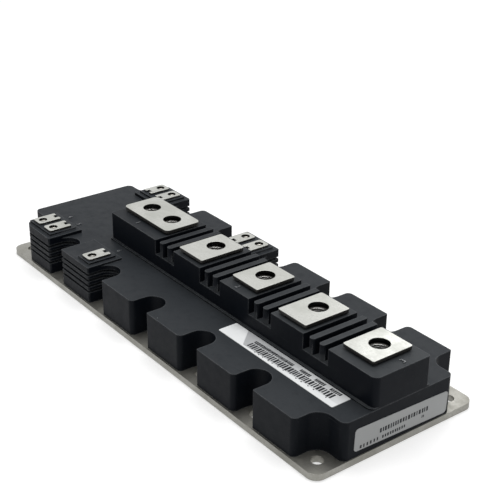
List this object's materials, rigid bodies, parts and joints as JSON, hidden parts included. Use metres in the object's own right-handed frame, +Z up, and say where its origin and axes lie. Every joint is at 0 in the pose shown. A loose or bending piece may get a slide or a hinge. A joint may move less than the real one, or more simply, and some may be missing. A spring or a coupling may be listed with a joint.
{
  "type": "igbt power module",
  "caption": "Flat half-bridge power semiconductor module with screw notches, a ridge of power terminals and small auxiliary terminals.",
  "frame": {"origin": "centre of the mounting face of the base plate", "axes": "+X along the module away from the output terminal, -Y the side with the long label, +Z up from the mounting face to the terminals"},
  "size_m": [0.25, 0.089, 0.038],
  "materials": {
    "plate": "nickel-plated copper, satin",
    "housing": "moulded, fine grain",
    "terminal": "nickel-plated copper, satin",
    "nut": "zinc-plated",
    "insulator": "smooth",
    "solder": "dull",
    "copper": "bare copper",
    "ceramic": "fine, white",
    "chip": "silicon with a metal face",
    "wire": "bright",
    "thermistor": "dark",
    "gel": "clear silicone gel",
    "seal": "silicone adhesive",
    "label": "satin film"
  },
  "bodies": {
    "root": {"baseplate": "plate", "housing_frame": "housing", "terminal_cover": "housing", "ac_terminal": "terminal", "dc_minus_terminals": "terminal", "dc_plus_terminals": "terminal", "ac_bus_plate": "copper", "dc_minus_bus_plate": "copper", "dc_plus_bus_plate": "copper", "bus_plate_insulator": "insulator", "power_nuts": "nut", "aux_nuts": "nut", "aux_near_1": "terminal", "aux_near_2": "terminal", "aux_near_3": "terminal", "aux_far_1": "terminal", "aux_far_2": "terminal", "aux_far_3": "terminal", "aux_far_4": "terminal", "substrate_solder": "solder", "substrate_bottom_copper": "copper", "substrate_ceramic": "ceramic", "substrate_top_copper": "copper", "igbt_chips": "chip", "diode_chips": "chip", "bond_wires": "wire", "thermistor": "thermistor", "silicone_gel": "gel", "seal_bead": "seal", "deck_label": "label", "end_label": "label"}
  },
  "joints": []
}
